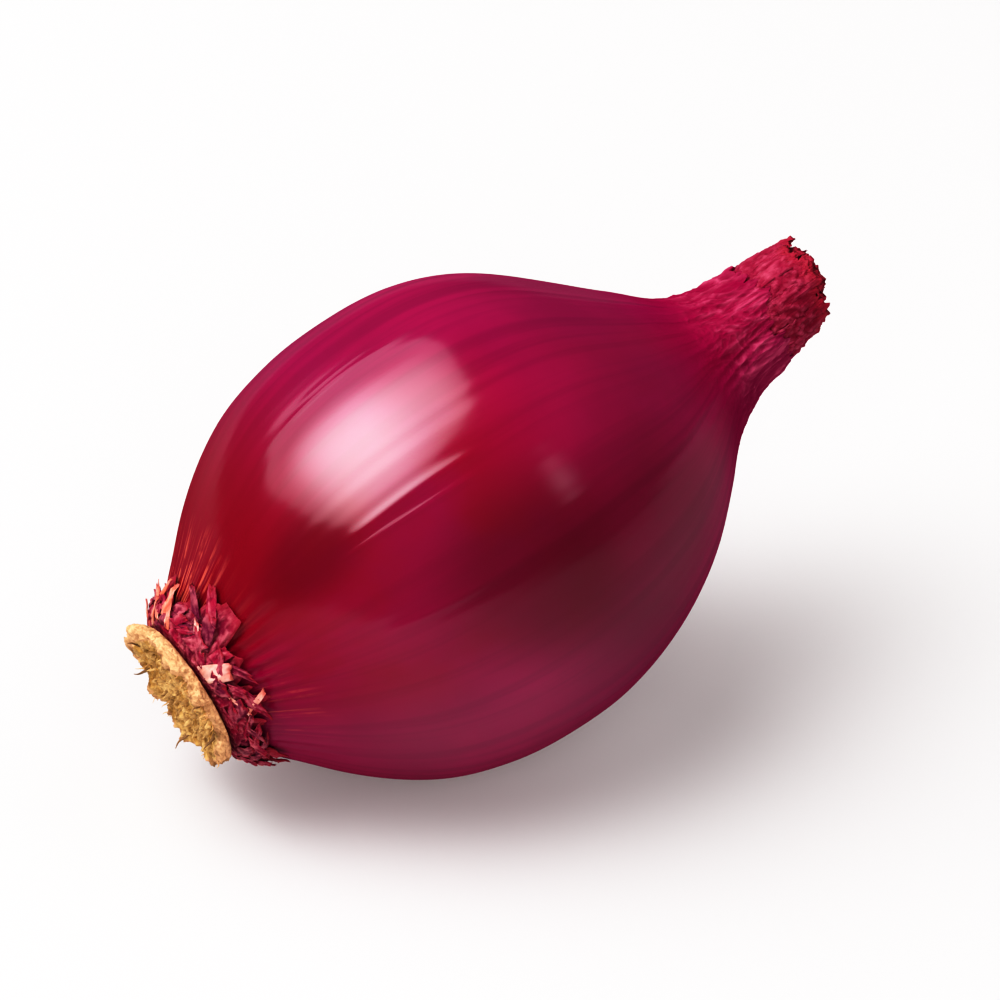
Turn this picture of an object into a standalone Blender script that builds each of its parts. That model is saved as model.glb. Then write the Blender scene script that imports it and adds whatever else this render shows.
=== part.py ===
"""A red onion set: a small planting bulb, lying on its side with its neck raised.

The four pieces are the bulb in its glossy skin, the dry leaf ends that stand in its neck, the ring of
torn skin at its root end, and the corky root plate with its root stubs.

Sizes are in millimetres and MM turns them into Blender's metres. Every piece is built about the bulb's
own axis, +X from the roots to the neck, and an empty tilts them all together onto the surface they lie
on. A station is a distance along that axis from the widest section of the belly. An angle runs round the
axis from +Z, the side that faces up.
"""

import math

import bpy
import numpy as np

MM = 0.001

# The bulb as a whole
BELLY_RADIUS = 9.9
NECK_RISE_DEG = 18.0
REST_DEPTH = 0.4
CLEARANCE = 0.35

# Stations of the pieces along the axis
NECK_EDGE = 15.8
LEAF_TOP = 19.1
LEAF_TOP_SLANT = 0.5
BULB_FOOT = -11.7
RING_FRONT = -12.0
RING_BACK = -12.6
PLATE_FRONT = -12.9
PLATE_BACK = -13.6

# Skin of the bulb: station and radius, from the root end to the sleeve of the neck
SKIN_OUTLINE = (
    (BULB_FOOT, 2.5),
    (-11.2, 3.6),
    (-10.5, 4.8),
    (-9.0, 6.45),
    (-6.0, 8.6),
    (-3.0, 9.6),
    (0.0, BELLY_RADIUS),
    (3.0, 9.7),
    (6.0, 8.7),
    (9.0, 6.75),
    (11.0, 5.0),
    (12.7, 3.4),
    (14.2, 2.6),
    (NECK_EDGE, 2.35),
)
FOOT_ROUNDING = 0.35

# The neck is a sleeve with a torn edge: a socket in it holds the dry leaf ends
NECK_FLAPS = 9
SOCKET_RADIUS = 1.65
SOCKET_DEPTH = 0.95
OUTER_LEAVES = 11
INNER_LEAVES = 5
SHANK_RADIUS = SOCKET_RADIUS - CLEARANCE
SHANK_FOOT = NECK_EDGE - SOCKET_DEPTH + CLEARANCE
OUTER_LEAF_START = NECK_EDGE + 0.5
INNER_LEAF_START = NECK_EDGE + 1.2

# Uneven growth: the axis sags at the shoulder and lifts at the neck, the belly isn't quite round
SHOULDER_SAG = 0.45
SHOULDER_STATION = 9.5
SHOULDER_SPREAD = 3.0
NECK_LIFT = 0.75
NECK_LIFT_START = 12.0
NECK_LIFT_LENGTH = 8.0
OVAL = 0.012
TRIANGULAR = 0.008
BELLY_SPREAD = 8.0
PLEATS = 11
PLEAT_DEPTH = 0.14
PLEAT_START = 8.0
PLEAT_LENGTH = 6.0

# Root plate
PLATE_RADIUS = 3.3
PLATE_RAGGED = 0.13
CRATER_RADIUS = 2.7
CRATER_DEPTH = 0.32
ROOT_STUBS = 19
ROOT_STUB_RADIUS = 0.3
ROOT_HAIR_RADIUS = 0.2
ROOT_HAIRS = ((0.9, 1.1), (2.9, 0.9), (4.6, 1.0))

# Torn skin: a ring behind the root plate, whose scraps lie back along the bulb or stand straight out
RING_RADIUS = 3.1
SKIN_SCRAPS = 17
SPREAD_EVERY = 4

SKIN_THICKNESS = 0.6
AROUND = 64
SEED = 8


def smooth_step(values, start, length):
    """0 before start, 1 from start + length, and an S-shaped rise between them."""
    share = np.clip((np.asarray(values, float) - start) / length, 0, 1)
    return share * share * (3 - 2 * share)


def skin_radius(stations):
    """Cubic curve through SKIN_OUTLINE, with the slope at each point from its neighbours."""
    keys = np.array(SKIN_OUTLINE)
    at, radius = keys[:, 0], keys[:, 1]
    slope = np.gradient(radius, at)
    stations = np.clip(stations, at[0], at[-1])
    i = np.clip(np.searchsorted(at, stations, side="right") - 1, 0, len(at) - 2)
    span = at[i + 1] - at[i]
    t = (stations - at[i]) / span
    return (
        (2 * t**3 - 3 * t**2 + 1) * radius[i]
        + (t**3 - 2 * t**2 + t) * span * slope[i]
        + (3 * t**2 - 2 * t**3) * radius[i + 1]
        + (t**3 - t**2) * span * slope[i + 1]
    )


def skin_normal(station):
    """Unit normal of the skin in the plane of the axis, as (along the axis, away from it)."""
    step = 0.05
    slope = (skin_radius(station + step) - skin_radius(station - step)) / (2 * step)
    length = math.hypot(1, slope)
    return -slope / length, 1 / length


def axis_lift(stations):
    """How far the grown axis lies above the straight one."""
    stations = np.asarray(stations, float)
    sag = SHOULDER_SAG * np.exp(-(((stations - SHOULDER_STATION) / SHOULDER_SPREAD) ** 2))
    return NECK_LIFT * smooth_step(stations, NECK_LIFT_START, NECK_LIFT_LENGTH) - sag


def on_axis(stations, radii, angles):
    """Points at these stations, radii and angles about the grown axis."""
    stations, radii, angles = np.broadcast_arrays(stations, radii, angles)
    return np.stack(
        [stations, radii * np.sin(angles), axis_lift(stations) + radii * np.cos(angles)], axis=-1
    )


def mesh_object(name, points, faces):
    """An object from points in millimetres."""
    mesh = bpy.data.meshes.new(name)
    mesh.from_pydata((np.asarray(points) * MM).tolist(), [], faces)
    mesh.validate()
    obj = bpy.data.objects.new(name, mesh)
    bpy.context.scene.collection.objects.link(obj)
    return obj


def loft(name, rings):
    """A closed body through rings of points, each end closed by a fan to the middle of its ring."""
    rings = np.asarray(rings)
    count, around = rings.shape[:2]
    points = np.concatenate([rings.reshape(-1, 3), [rings[0].mean(axis=0)], [rings[-1].mean(axis=0)]])
    first, last = count * around, count * around + 1
    faces = []
    for j in range(around):
        k = (j + 1) % around
        faces.append((first, k, j))
        faces.append((last, (count - 1) * around + j, (count - 1) * around + k))
        for i in range(count - 1):
            a, b = i * around + j, i * around + k
            faces.append((a, b, b + around))
            faces.append((a, b + around, a + around))
    tri = points[np.array(faces)]
    volume = np.einsum("ij,ij->i", tri[:, 0], np.cross(tri[:, 1], tri[:, 2])).sum()
    if volume < 0:
        faces = [face[::-1] for face in faces]
    return mesh_object(name, points, faces)


def blade(name, path, across, normals, widths, thickness):
    """A strip of dry skin along a path: widths across it, crowned a little, and one thickness."""
    path, across, normals = (np.asarray(v, float) for v in (path, across, normals))
    half = np.asarray(widths, float)[:, None] / 2
    out, crown = thickness / 2, thickness * 0.12
    section = [(-1, -out), (0, -out + crown), (1, -out), (1, out), (0, out + crown), (-1, out)]
    rings = np.stack([path + across * side * half + normals * up for side, up in section], axis=1)
    return loft(name, rings)


def curved_blade(name, stations, radii, angle, width, taper, thickness=SKIN_THICKNESS, twist=0.0):
    """A blade whose middle runs through these stations and radii at one angle round the axis."""
    stations, radii = np.asarray(stations, float), np.asarray(radii, float)
    share = np.linspace(0, 1, len(stations))
    turned = angle + twist * share
    path = on_axis(stations, radii, turned)
    across = np.stack([np.zeros_like(turned), np.cos(turned), -np.sin(turned)], axis=-1)
    along = np.gradient(path, axis=0)
    along /= np.linalg.norm(along, axis=1, keepdims=True)
    across -= (across * along).sum(axis=1, keepdims=True) * along
    across /= np.linalg.norm(across, axis=1, keepdims=True)
    normals = np.cross(across, along)
    widths = width * (1 - (1 - taper) * share**2.5)
    return blade(name, path, across, normals, widths, thickness)


def fuse(body, pieces):
    """One Boolean union of body with its repeats, applied, after which the repeats are removed."""
    repeats = bpy.data.collections.new(body.name + "_repeats")
    bpy.context.scene.collection.children.link(repeats)
    for piece in pieces:
        bpy.context.scene.collection.objects.unlink(piece)
        repeats.objects.link(piece)
    union = body.modifiers.new("fuse", "BOOLEAN")
    union.operation = "UNION"
    union.operand_type = "COLLECTION"
    union.collection = repeats
    union.solver = "EXACT"
    evaluated = body.evaluated_get(bpy.context.evaluated_depsgraph_get())
    fused = bpy.data.meshes.new_from_object(evaluated)
    body.modifiers.clear()
    body.data = fused
    for piece in pieces:
        bpy.data.objects.remove(piece)
    bpy.data.collections.remove(repeats)
    return body


def material(name, colour, roughness):
    made = bpy.data.materials.new(name)
    made.use_nodes = True
    shader = made.node_tree.nodes["Principled BSDF"]
    shader.inputs["Base Color"].default_value = (*colour, 1)
    shader.inputs["Roughness"].default_value = roughness
    shader.inputs["Metallic"].default_value = 0
    return made


def finish(obj, name, made, parent, smooth_deg=35):
    """Names the object, gives it its material and smooth shading, and hangs it on the tilted axis."""
    obj.name = name
    obj.data.name = name
    obj.data.materials.clear()
    obj.data.materials.append(made)
    obj.data.shade_smooth()
    obj.data.set_sharp_from_angle(angle=math.radians(smooth_deg))
    obj.parent = parent
    return obj


def bulb_rings():
    """Rings of the bulb from the middle of its foot, over the skin, and down into the neck's socket."""
    angles = np.linspace(0, 2 * math.pi, AROUND, endpoint=False)
    skin = np.concatenate(
        [
            np.linspace(BULB_FOOT + FOOT_ROUNDING, -9.0, 4, endpoint=False),
            np.linspace(-9.0, 9.0, 19, endpoint=False),
            np.linspace(9.0, NECK_EDGE, 11),
        ]
    )
    rings = [on_axis(BULB_FOOT, skin_radius(BULB_FOOT) * share, angles) for share in (0.4, 0.94)]
    belly = np.exp(-((skin / BELLY_SPREAD) ** 2))
    pleat = PLEAT_DEPTH * smooth_step(skin, PLEAT_START, PLEAT_LENGTH)
    wave = np.cos(PLEATS * angles + 0.5 * np.sin(3 * angles))
    for station, round_share, depth in zip(skin, belly, pleat):
        uneven = 1 + round_share * (OVAL * np.cos(2 * angles - 1.2) + TRIANGULAR * np.cos(3 * angles + 1))
        rings.append(on_axis(station, skin_radius(station) * uneven + depth * wave, angles))
    rings.append(on_axis(NECK_EDGE + 0.05, SOCKET_RADIUS + 0.1, angles))
    rings.append(on_axis(NECK_EDGE - 0.15, SOCKET_RADIUS, angles))
    rings.append(on_axis(NECK_EDGE - SOCKET_DEPTH, SOCKET_RADIUS, angles))
    rings.append(on_axis(NECK_EDGE - SOCKET_DEPTH, SOCKET_RADIUS * 0.5, angles))
    return np.array(rings)


def up_in_axis_frame():
    """The world's up direction as the tilted axis sees it."""
    rise = math.radians(NECK_RISE_DEG)
    return np.array([math.sin(rise), 0, math.cos(rise)])


def rest_height(rings):
    """Height of the belly's middle above the surface, once the lowest skin is pressed flat."""
    return -(rings @ up_in_axis_frame()).min() - REST_DEPTH


def press_flat(rings, height):
    """Raises what would reach below the surface onto it, which leaves the small flat spot."""
    below = np.minimum(rings @ up_in_axis_frame() + height, 0)
    return rings - below[..., None] * up_in_axis_frame()


def neck_flaps(rng):
    """The torn upper edge of the neck's sleeve, in flaps that point past it."""
    flaps = []
    for k in range(NECK_FLAPS):
        angle = 2 * math.pi * (k + rng.uniform(-0.2, 0.2)) / NECK_FLAPS
        reach = rng.uniform(0.5, 1.15)
        stations = NECK_EDGE + np.array([-0.7, -0.1, 0.45 * reach, 0.8 * reach, reach])
        radii = np.array([2.02, 2.08, 2.15, 2.24, 2.3 + rng.uniform(0, 0.2)])
        flaps.append(curved_blade("flap", stations, radii, angle, rng.uniform(1.15, 1.6), 0.35))
    return flaps


def make_bulb(made, parent, height):
    rings = press_flat(bulb_rings(), height)
    bulb = loft("bulb", rings)
    fuse(bulb, neck_flaps(np.random.default_rng(SEED)))
    return finish(bulb, "bulb", made, parent)


def leaf_core():
    """The bundle of leaf bases that the strips stand out of."""
    angles = np.linspace(0, 2 * math.pi, 24, endpoint=False)
    outline = (
        (SHANK_FOOT, 0.6),
        (SHANK_FOOT, SHANK_RADIUS),
        (NECK_EDGE + 1.1, SHANK_RADIUS),
        (NECK_EDGE + 1.6, SHANK_RADIUS + 0.2),
        (NECK_EDGE + 2.3, SHANK_RADIUS),
        (NECK_EDGE + 2.55, 0.7),
    )
    return loft("core", [on_axis(station, radius, angles) for station, radius in outline])


def leaf_strip(rng, angle, start, start_radius, bulge_radius, tip_radius, width):
    """One dry leaf end: it leaves the bundle, bulges, and stops at the slanted cut."""
    tip = LEAF_TOP + LEAF_TOP_SLANT * math.cos(angle) + rng.uniform(-0.35, 0.3)
    share = np.array([0, 0.25, 0.45, 0.7, 0.88, 1])
    middle_radius = (bulge_radius + tip_radius) / 2
    key_radii = (start_radius, start_radius + 0.25, bulge_radius, middle_radius, tip_radius)
    radii = np.interp(share, (0, 0.2, 0.5, 0.8, 1), key_radii)
    taper, twist = rng.uniform(0.4, 0.75), rng.uniform(-0.18, 0.18)
    return curved_blade("strip", start + (tip - start) * share, radii, angle, width, taper, twist=twist)


def make_leaf_ends(made, parent):
    rng = np.random.default_rng(SEED + 1)
    strips = []
    for k in range(OUTER_LEAVES):
        angle = 2 * math.pi * (k + rng.uniform(-0.22, 0.22)) / OUTER_LEAVES
        bulge_radius = 1.68 + 0.1 * (k % 2)
        tip_radius = rng.uniform(1.4, 1.85)
        width = rng.uniform(0.9, 1.2)
        strips.append(leaf_strip(rng, angle, OUTER_LEAF_START, 0.95, bulge_radius, tip_radius, width))
    for k in range(INNER_LEAVES):
        angle = 2 * math.pi * (k + 0.4 + rng.uniform(-0.2, 0.2)) / INNER_LEAVES
        strips.append(leaf_strip(rng, angle, INNER_LEAF_START, 0.4, 0.8, rng.uniform(0.6, 0.95), 0.85))
    leaves = fuse(leaf_core(), strips)
    return finish(leaves, "dry_leaf_ends", made, parent)


def ring_disc():
    """The ring of old skin between the foot of the bulb and the root plate."""
    angles = np.linspace(0, 2 * math.pi, 32, endpoint=False)
    outline = (
        (RING_FRONT, 1.6),
        (RING_FRONT, RING_RADIUS - 0.35),
        (RING_FRONT - 0.2, RING_RADIUS),
        (RING_BACK + 0.1, RING_RADIUS),
        (RING_BACK, RING_RADIUS - 0.2),
        (RING_BACK, 1.6),
    )
    return loft("ring", [on_axis(station, radius, angles) for station, radius in outline])


def skin_scrap(rng, angle, reach, lift):
    """A scrap of dead skin, held by the ring, that lies back along the bulb just clear of it."""
    clear = CLEARANCE + SKIN_THICKNESS / 2
    root = (RING_FRONT + RING_BACK) / 2
    stations, radii = [root, root + 0.05], [RING_RADIUS - 0.7, RING_RADIUS - 0.1]
    for share in (0.0, 0.35, 0.7, 1.0):
        on_skin = BULB_FOOT + 0.25 + reach * share
        along, away = skin_normal(on_skin)
        stand_off = clear + lift * share**2
        stations.append(on_skin + along * stand_off)
        radii.append(float(skin_radius(on_skin)) + away * stand_off)
    return curved_blade("scrap", stations, radii, angle, rng.uniform(1.0, 1.5), rng.uniform(0.3, 0.7))


def spread_scrap(rng, angle):
    """A short scrap that stands straight out between the ring and the root plate."""
    stations = (RING_FRONT + RING_BACK) / 2 + np.array([0, 0, 0.1, 0.25])
    radii = RING_RADIUS + np.array([-0.7, -0.1, 0.4, 0.8]) * rng.uniform(0.8, 1.2)
    return curved_blade("scrap", stations, radii, angle, rng.uniform(0.9, 1.3), 0.4)


def make_torn_skin(made, parent):
    rng = np.random.default_rng(SEED + 2)
    scraps = []
    for k in range(SKIN_SCRAPS):
        angle = 2 * math.pi * (k + rng.uniform(-0.25, 0.25)) / SKIN_SCRAPS
        if k % SPREAD_EVERY == 2:
            scraps.append(spread_scrap(rng, angle))
        else:
            scraps.append(skin_scrap(rng, angle, rng.uniform(0.3, 0.85), rng.uniform(0.0, 0.12)))
    ring = fuse(ring_disc(), scraps)
    return finish(ring, "torn_skin", made, parent)


def plate_disc():
    """The cut stem: a thick disc with a frayed rim and a hollowed face."""
    angles = np.linspace(0, 2 * math.pi, 48, endpoint=False)
    ragged = np.sin(7 * angles + 1) + 0.6 * np.sin(13 * angles + 2) + 0.4 * np.sin(19 * angles)
    fray = PLATE_RAGGED * ragged
    sink = PLATE_BACK + CRATER_DEPTH
    outline = (
        (PLATE_FRONT, 1.5, 0, 0),
        (PLATE_FRONT, PLATE_RADIUS - 0.35, 0, 0),
        (PLATE_FRONT - 0.2, PLATE_RADIUS, 0.6, 0),
        (PLATE_BACK + 0.15, PLATE_RADIUS, 1, 0.5),
        (PLATE_BACK, PLATE_RADIUS - 0.2, 1, 1),
        (PLATE_BACK + 0.12, CRATER_RADIUS, 0.4, 0.5),
        (sink, CRATER_RADIUS - 0.45, 0, 0),
        (sink + 0.06, 1.0, 0, 0),
    )
    rings = []
    for station, radius, out, along in outline:
        rings.append(on_axis(station + 0.8 * along * fray, radius + out * fray, angles))
    return loft("plate", rings)


def root_stub(rng, distance, angle, length, radius, lean):
    """A dry root cut short: a five-sided peg that leans away from the middle of the plate."""
    corners = np.linspace(0, 2 * math.pi, 5, endpoint=False) + rng.uniform(0, 1)
    rings = []
    for share, width in ((0, 1.1), (0.45, 1.0), (0.85, 0.8), (1, 0.45)):
        middle = distance + lean * share**1.5
        station = PLATE_BACK + CRATER_DEPTH + 0.22 - (length + 0.22) * share
        centre = on_axis(station, middle, angle)
        around = np.stack([np.zeros(5), np.cos(corners), np.sin(corners)], axis=-1)
        rings.append(centre + around * radius * width)
    return loft("stub", rings)


def make_root_plate(made, parent):
    rng = np.random.default_rng(SEED + 3)
    golden = math.pi * (3 - math.sqrt(5))
    stubs = []
    for k in range(ROOT_STUBS):
        distance = 2.25 * math.sqrt((k + 0.5) / ROOT_STUBS)
        radius = ROOT_STUB_RADIUS * rng.uniform(0.85, 1.2)
        length, lean = rng.uniform(0.3, 0.62), rng.uniform(0, 0.25)
        stubs.append(root_stub(rng, distance, golden * k, length, radius, lean))
    for angle, length in ROOT_HAIRS:
        stubs.append(root_stub(rng, 2.0, angle, length, ROOT_HAIR_RADIUS, 0.7))
    plate = fuse(plate_disc(), stubs)
    return finish(plate, "root_plate", made, parent)


def tilted_axis(height):
    """The empty that carries the pieces: the bulb's axis, its neck end raised, above the rest spot."""
    axis = bpy.data.objects.new("bulb_axis", None)
    bpy.context.scene.collection.objects.link(axis)
    axis.location = (0, 0, height * MM)
    axis.rotation_euler = (0, -math.radians(NECK_RISE_DEG), 0)
    return axis


def main():
    for obj in list(bpy.data.objects):
        bpy.data.objects.remove(obj)
    height = rest_height(bulb_rings())
    axis = tilted_axis(height)
    make_bulb(material("red_skin", (0.30, 0.004, 0.035), 0.3), axis, height)
    make_leaf_ends(material("dry_leaf", (0.38, 0.01, 0.03), 0.8), axis)
    make_torn_skin(material("torn_skin", (0.33, 0.03, 0.03), 0.7), axis)
    make_root_plate(material("root_cork", (0.60, 0.33, 0.12), 0.9), axis)


main()
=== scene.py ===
# %% [markdown]
# # A red onion set
#
# An onion set is a small onion that is dried and sold for planting. Under its glossy outer skin it is a
# stack of leaf bases, so all that shows is skin: tight and shiny over the belly, gathered into a sleeve at
# the neck, and torn round the root plate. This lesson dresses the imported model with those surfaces. The
# model fixes where everything is, and nothing here moves it.

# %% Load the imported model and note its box
import math

import bpy
import numpy as np
from mathutils import Matrix, Vector


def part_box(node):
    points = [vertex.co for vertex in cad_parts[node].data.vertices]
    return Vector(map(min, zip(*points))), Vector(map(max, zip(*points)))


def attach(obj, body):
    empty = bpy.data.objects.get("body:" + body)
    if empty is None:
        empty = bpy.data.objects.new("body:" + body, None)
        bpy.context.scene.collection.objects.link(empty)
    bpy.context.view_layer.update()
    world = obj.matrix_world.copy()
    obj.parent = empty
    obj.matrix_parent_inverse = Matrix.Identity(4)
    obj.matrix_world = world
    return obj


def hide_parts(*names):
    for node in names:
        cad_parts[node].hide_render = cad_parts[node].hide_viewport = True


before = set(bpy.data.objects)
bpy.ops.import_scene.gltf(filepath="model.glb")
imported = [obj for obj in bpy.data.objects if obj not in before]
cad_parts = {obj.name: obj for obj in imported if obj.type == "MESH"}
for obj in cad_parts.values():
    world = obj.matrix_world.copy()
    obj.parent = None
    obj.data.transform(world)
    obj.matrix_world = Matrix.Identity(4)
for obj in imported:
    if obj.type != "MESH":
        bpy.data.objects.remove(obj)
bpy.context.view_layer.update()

# %% [markdown]
# ## The bulb's own axis
#
# A bulb is close to a turned shape, so every surface is worked out about its axis: a station along it in
# millimetres from the middle of the belly, a radius, and an angle that starts at the side facing up. The
# alternative, modelling it where it lies, would make each formula carry the tilt. The outline is the
# packed bulb's, apart from the root end, which is fuller because paper-thin skin covers it here.

# %% The outline of the skin and the way the axis bends
NECK_RISE = math.radians(18.0)
MM = 0.001
NECK_EDGE = 15.8
FOOT = -12.15
SHOULDER_SAG = 0.45
NECK_LIFT = 0.75
OUTLINE = (
    (FOOT, 2.6),
    (-11.85, 3.5),
    (-11.2, 4.25),
    (-10.5, 4.95),
    (-9.0, 6.45),
    (-6.0, 8.6),
    (-3.0, 9.6),
    (0.0, 9.9),
    (3.0, 9.7),
    (6.0, 8.7),
    (9.0, 6.75),
    (11.0, 5.0),
    (12.7, 3.4),
    (14.2, 2.6),
    (NECK_EDGE, 2.3),
)


def smooth_step(values, start, length):
    """0 before start, 1 after start + length, and the S curve 3t^2 - 2t^3 between them."""
    share = np.clip((np.asarray(values, float) - start) / length, 0, 1)
    return share * share * (3 - 2 * share)


def curve_through(points, at):
    """The cubic Hermite curve through (place, value) points, its slopes taken from the neighbours."""
    place, value = np.array(points).T
    slope = np.gradient(value, place)
    at = np.clip(at, place[0], place[-1])
    i = np.clip(np.searchsorted(place, at, side="right") - 1, 0, len(place) - 2)
    span = place[i + 1] - place[i]
    t = (at - place[i]) / span
    rise = (3 * t**2 - 2 * t**3) * (value[i + 1] - value[i])
    return value[i] + rise + span * ((t**3 - 2 * t**2 + t) * slope[i] + (t**3 - t**2) * slope[i + 1])


def axis_lift(stations):
    """Height of the grown axis over the straight one: a bell-shaped sag at the shoulder, then a rise."""
    sag = SHOULDER_SAG * np.exp(-(((stations - 9.5) / 3.0) ** 2))
    return NECK_LIFT * smooth_step(stations, 12.0, 8.0) - sag


def about_axis(stations, radii, angles):
    """Points (station, radius x sin angle, lift + radius x cos angle), all in millimetres."""
    stations, radii, angles = np.broadcast_arrays(stations, radii, angles)
    up = axis_lift(stations) + radii * np.cos(angles)
    return np.stack([stations, radii * np.sin(angles), up], axis=-1)


print("belly radius:", curve_through(OUTLINE, 0.0), "mm")

# %% [markdown]
# ## Making meshes from whole arrays
#
# Three small helpers turn arrays into meshes. `sweep_faces` joins the rings of a tube, `build` fills a
# mesh with points and faces in one go, and `tubes` makes one object of many closed tubes at once. Every
# piece of the onion is such a tube: the skin is one wide tube, and a dry sheet is a very flat one.
# BELLY_HEIGHT, the height of the axis at the belly, is measured before the first piece is made.

# %% Helpers for closed tubes of rings
UP = np.array([math.sin(NECK_RISE), 0.0, math.cos(NECK_RISE)])
TURN = np.array([[UP[2], 0.0, -UP[0]], [0.0, 1.0, 0.0], UP])


def sweep_faces(rings, around):
    """Quads between each ring and the next, and a fan from each end ring to its own middle point.

    The points are numbered ring by ring, then the first ring's middle, then the last ring's.
    """
    i, j = np.meshgrid(np.arange(rings - 1), np.arange(around), indexing="ij")
    k = (j + 1) % around
    quads = np.stack([i * around + j, i * around + k, (i + 1) * around + k, (i + 1) * around + j], axis=-1)
    edge = np.arange(around)
    after = (edge + 1) % around
    last = (rings - 1) * around
    first_fan = np.stack([np.full(around, rings * around), after, edge], axis=-1)
    last_fan = np.stack([np.full(around, rings * around + 1), last + edge, last + after], axis=-1)
    return quads.reshape(-1, 4), np.concatenate([first_fan, last_fan])


def build(name, points, quads, triangles, attributes):
    """A smooth-shaded object from points in axis millimetres, its faces, and its named point values."""
    world = (points @ TURN.T + (0, 0, BELLY_HEIGHT)) * MM
    mesh = bpy.data.meshes.new(name)
    mesh.vertices.add(len(world))
    mesh.vertices.foreach_set("co", world.astype(np.float32).ravel())
    corners = np.concatenate([quads.ravel(), triangles.ravel()])
    starts = np.concatenate([np.arange(len(quads)) * 4, 4 * len(quads) + np.arange(len(triangles)) * 3])
    mesh.loops.add(len(corners))
    mesh.loops.foreach_set("vertex_index", corners.astype(np.int32))
    mesh.polygons.add(len(starts))
    mesh.polygons.foreach_set("loop_start", starts.astype(np.int32))
    mesh.update(calc_edges=True)
    mesh.shade_smooth()
    for label, values in attributes.items():
        kind = "FLOAT_VECTOR" if values.ndim == 2 else "FLOAT"
        held = mesh.attributes.new(label, kind, "POINT")
        held.data.foreach_set("vector" if values.ndim == 2 else "value", values.astype(np.float32).ravel())
    obj = bpy.data.objects.new(name, mesh)
    bpy.context.scene.collection.objects.link(obj)
    print(name, "has", 2 * len(quads) + len(triangles), "triangles")
    return obj


def tubes(name, rings, attributes):
    """One object of closed tubes, from rings shaped (tube, ring, around, xyz) and values on that grid.

    The faces are turned round if the solid they enclose comes out with a negative volume.
    """
    count, along, around = rings.shape[:3]
    ends = rings[:, [0, -1]].mean(axis=2)
    points = np.concatenate([rings.reshape(count, -1, 3), ends], axis=1)
    quads, triangles = sweep_faces(along, around)
    step = (np.arange(count) * points.shape[1])[:, None, None]
    values = {}
    for label, grid in attributes.items():
        extra = grid.shape[3:]
        tips = grid[:, [0, -1]].mean(axis=2)
        flat = np.concatenate([grid.reshape(count, along * around, *extra), tips], axis=1)
        values[label] = flat.reshape(-1, *extra)
    quads, triangles = (quads + step).reshape(-1, 4), (triangles + step).reshape(-1, 3)
    points = points.reshape(-1, 3)
    first = points[np.concatenate([quads[:, :3], triangles])]
    if np.einsum("ij,ij->", first[:, 0], np.cross(first[:, 1], first[:, 2])) < 0:
        quads, triangles = quads[:, ::-1], triangles[:, ::-1]
    return build(name, points, quads, triangles, values)


# %% [markdown]
# ## A stock of grown unevenness
#
# Nothing that has grown or dried is even, but a random value at each point would look like sand. Four
# functions give unevenness with a scale: `waves` closes on itself round the axis and suits veins, `saw`
# makes teeth, `noise` makes soft lumps, and `crumple` makes the sharp crossing folds of dry skin. They
# move points, so the folds are real in the mesh; bump alone would vanish at the outline.

# %% Helpers for grown unevenness
FLOW_RADIUS = 10.0


def wrapped(radius, angles, stations):
    """The place (radius x cos angle, radius x sin angle, station), where noise closes round the axis."""
    place = np.broadcast_arrays(radius * np.cos(angles), radius * np.sin(angles), stations)
    return np.stack(place, axis=-1)


def waves(rng, angles, stations, turns, lengths, count):
    """A sum of cosines: whole turns round the axis, a wavelength along it, a random phase."""
    total = 0
    for _ in range(count):
        around = rng.integers(turns[0], turns[1] + 1)
        along = rng.choice([-1, 1]) * 2 * math.pi / rng.uniform(*lengths)
        total = total + np.cos(around * angles + along * stations + rng.uniform(0, 2 * math.pi))
    return total * math.sqrt(2 / count)


def saw(values):
    """A zigzag between -1 and 1 with the period of a sine: 2/pi x asin(sin x)."""
    return np.arcsin(np.sin(values)) * 2 / math.pi


def noise(points, seed):
    """Gradient noise, about -1 to 1: a random slope at each corner of a lattice, the nearest eight blended.

    The share of each corner is the product of 6t^5 - 15t^4 + 10t^3 along the three directions.
    """
    rng = np.random.default_rng(seed)
    order = rng.permutation(256)
    slopes = rng.normal(size=(256, 3))
    slopes /= np.linalg.norm(slopes, axis=1, keepdims=True)
    cell = np.floor(points).astype(int)
    part = points - cell
    fade = part**3 * (part * (6 * part - 15) + 10)
    total = 0
    for corner in np.ndindex(2, 2, 2):
        x, y, z = np.moveaxis((cell + corner) % 256, -1, 0)
        slope = slopes[order[(order[(order[x] + y) % 256] + z) % 256]]
        share = np.prod(np.where(np.array(corner, bool), fade, 1 - fade), axis=-1)
        total = total + share * np.sum(slope * (part - corner), axis=-1)
    return 1.6 * total


def crumple(points, seed, size, octaves=3):
    """Folds as in crushed paper, 0 to 1: (1 - |noise|)^3 at ever finer scales, at places shifted by noise."""
    place = points / size
    shift = np.stack([noise(0.6 * place + 17.3 * k, seed + k) for k in range(3)], axis=-1)
    place = place + 0.7 * shift
    total, most = 0, 0
    for octave in range(octaves):
        share = 0.55**octave
        total = total + share * (1 - np.abs(noise(place * 2**octave, seed + 5 + octave))) ** 3
        most = most + share
    return total / most


# %% [markdown]
# ## The skin of the bulb
#
# One surface runs from the foot under the root plate, over the belly, up the neck, round the torn edge of
# the sleeve and down inside it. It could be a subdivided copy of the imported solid, but the real skin is
# ribbed along its length by veins, and a grid whose lines follow those veins can raise them. The relief is
# in layers, as it grew: broad flats where the scales beneath press, fine veins, a few sharp creases where
# the drying skin folded, gathers that deepen up the neck, and a crumple on the dry last few millimetres.
# Each crease is a row: its angle in degrees, the stations it runs from and to, its height and its width
# in degrees. The first two split the highlight's lower edge into a bar and a thin line.

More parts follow.
